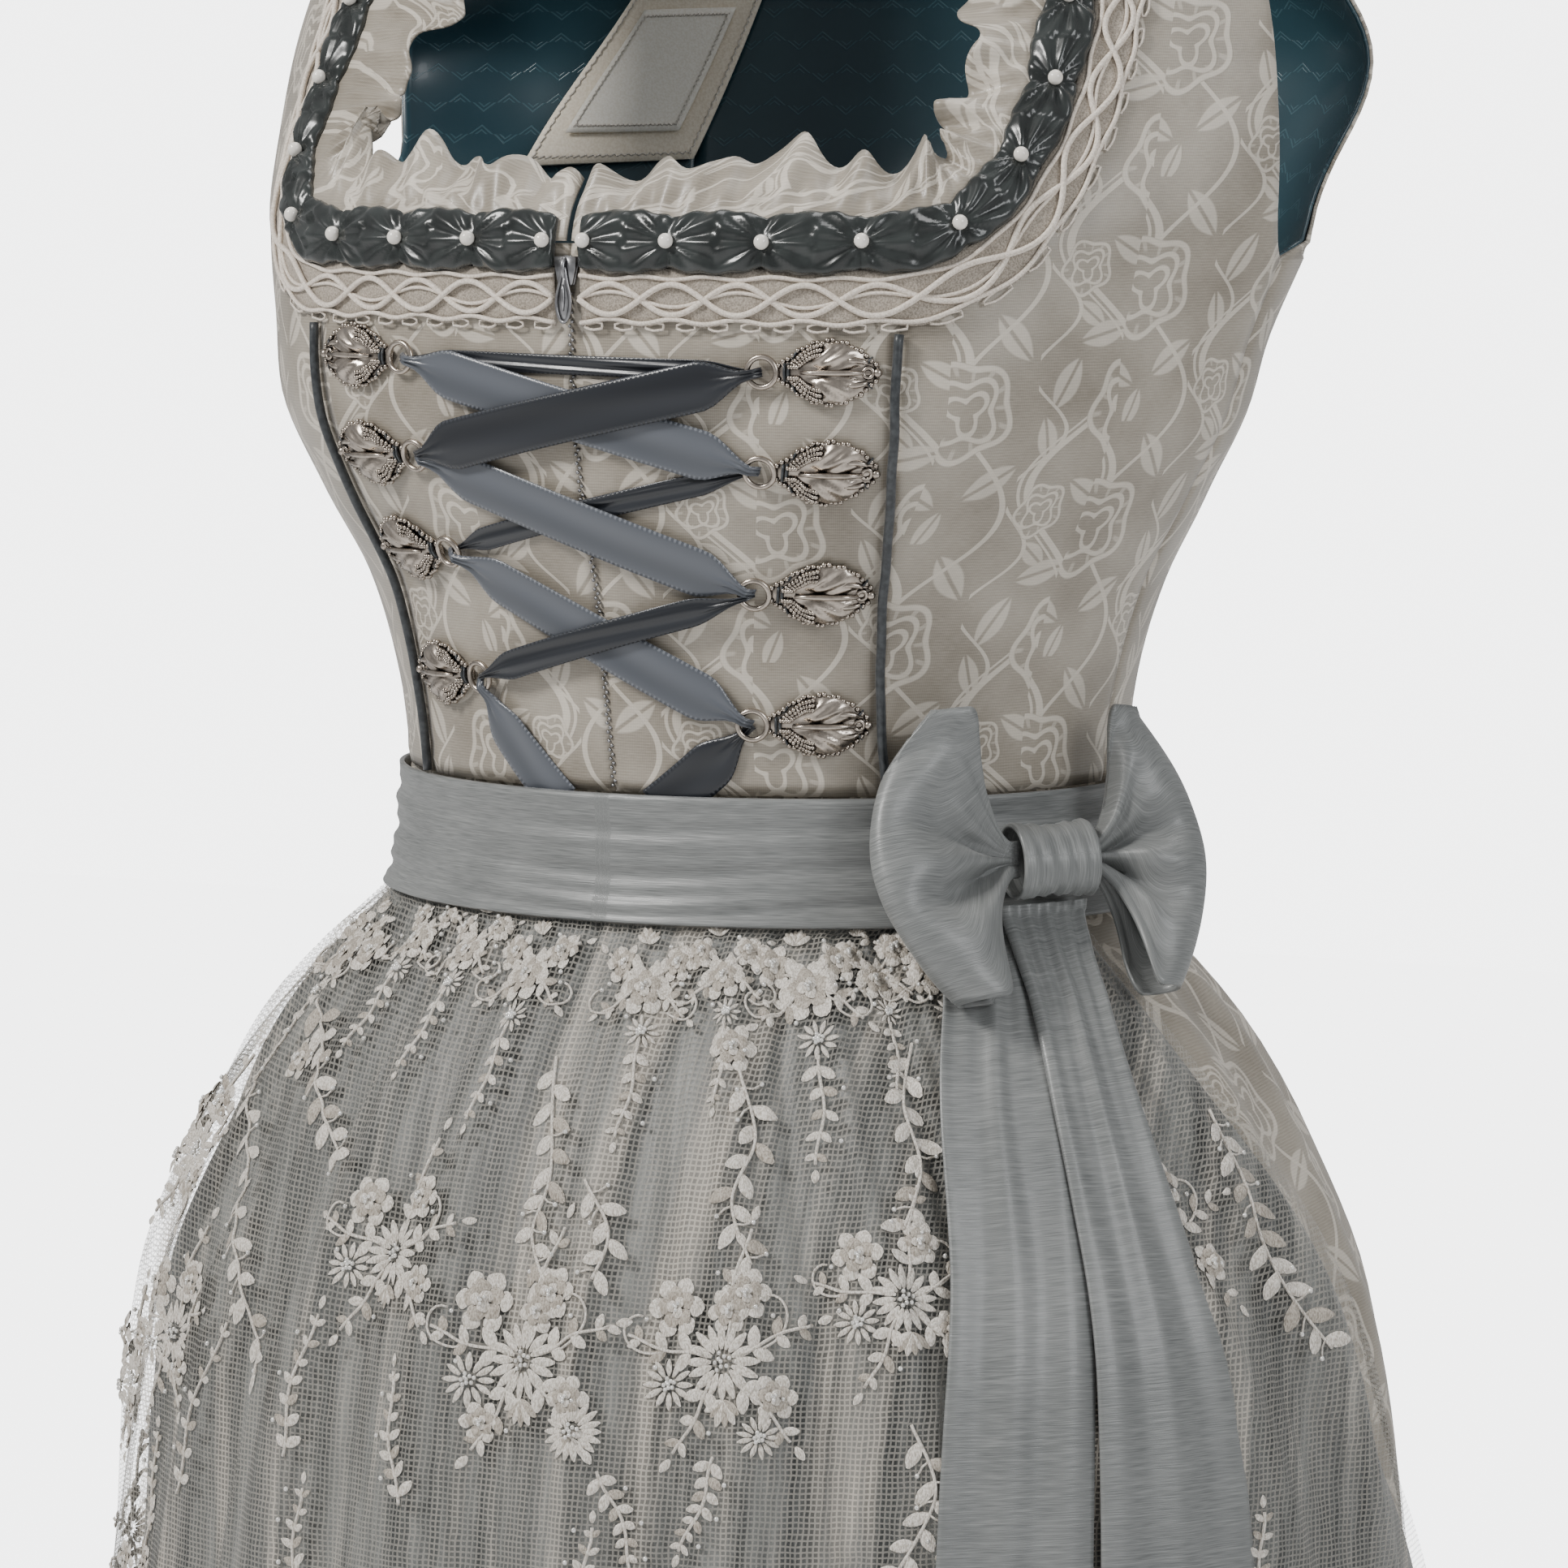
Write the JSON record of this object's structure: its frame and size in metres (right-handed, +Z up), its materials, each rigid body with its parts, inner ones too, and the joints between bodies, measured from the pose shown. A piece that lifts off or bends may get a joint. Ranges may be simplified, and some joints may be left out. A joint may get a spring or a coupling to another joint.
{
  "type": "dirndl dress",
  "caption": "Sleeveless laced bodice with a square neck, a sash with a side bow, a gathered net apron and a full skirt, filled out as worn.",
  "frame": {"origin": "top of the shoulders, midway between them over the body's axis", "axes": "+Z up along the body, -Y the way the wearer faces, +X to the wearer's left"},
  "size_m": [0.5525, 0.485, 1.0523],
  "materials": {
    "brocade": "greige jacquard with a satin sheen",
    "lining": "teal satin with a small figure",
    "trim_satin": "ruched dark satin with pearls",
    "lace": "cream gimp",
    "piping": "dark satin cord",
    "silver": "antique silver casting",
    "ribbon": "slate satin ribbon",
    "taffeta": "grey slubbed taffeta",
    "underlayer": "grey sheer silk",
    "net": "embroidered tulle",
    "canvas": "plain canvas",
    "zip_metal": "dark nickel"
  },
  "bodies": {
    "garment": {"apron_net": "net", "apron_underlayer": "underlayer", "bodice_back_centre": "brocade", "bodice_back_side_left": "brocade", "bodice_back_side_right": "brocade", "bodice_front_centre_left": "brocade", "bodice_front_centre_right": "brocade", "bodice_front_side_left": "brocade", "bodice_front_side_right": "brocade", "bow_knot": "taffeta", "bow_loop_left": "taffeta", "bow_loop_right": "taffeta", "bow_tail_left": "taffeta", "bow_tail_right": "taffeta", "hook_left_1": "silver", "hook_left_2": "silver", "hook_left_3": "silver", "hook_left_4": "silver", "hook_right_1": "silver", "hook_right_2": "silver", "hook_right_3": "silver", "hook_right_4": "silver", "label": "canvas", "label_patch": "canvas", "lacing_1_1": "ribbon", "lacing_1_2": "ribbon", "lacing_2_1": "ribbon", "lacing_2_3": "ribbon", "lacing_3_2": "ribbon", "lacing_3_4": "ribbon", "lacing_4_3": "ribbon", "lacing_end_left": "ribbon", "lacing_end_right": "ribbon", "lining_back_centre": "lining", "lining_back_side_left": "lining", "lining_back_side_right": "lining", "neck_lace_left": "lace", "neck_lace_right": "lace", "neck_ruffle_left": "brocade", "neck_ruffle_right": "brocade", "neck_trim_left": "trim_satin", "neck_trim_right": "trim_satin", "piping_left": "piping", "piping_right": "piping", "sash": "taffeta", "skirt_back": "brocade", "skirt_front": "brocade", "skirt_side_left": "brocade", "skirt_side_right": "brocade", "zip_slider": "zip_metal", "zip_tape": "piping"},
    "pull_tab": {"zip_pull": "zip_metal"}
  },
  "joints": [
    {"name": "zip_pull_hinge", "type": "hinge", "parent": "garment", "child": "pull_tab", "pos_m": [0, -0.13186, -0.205], "axis": [-1, 0, 0], "range_deg": [0, 150]}
  ]
}
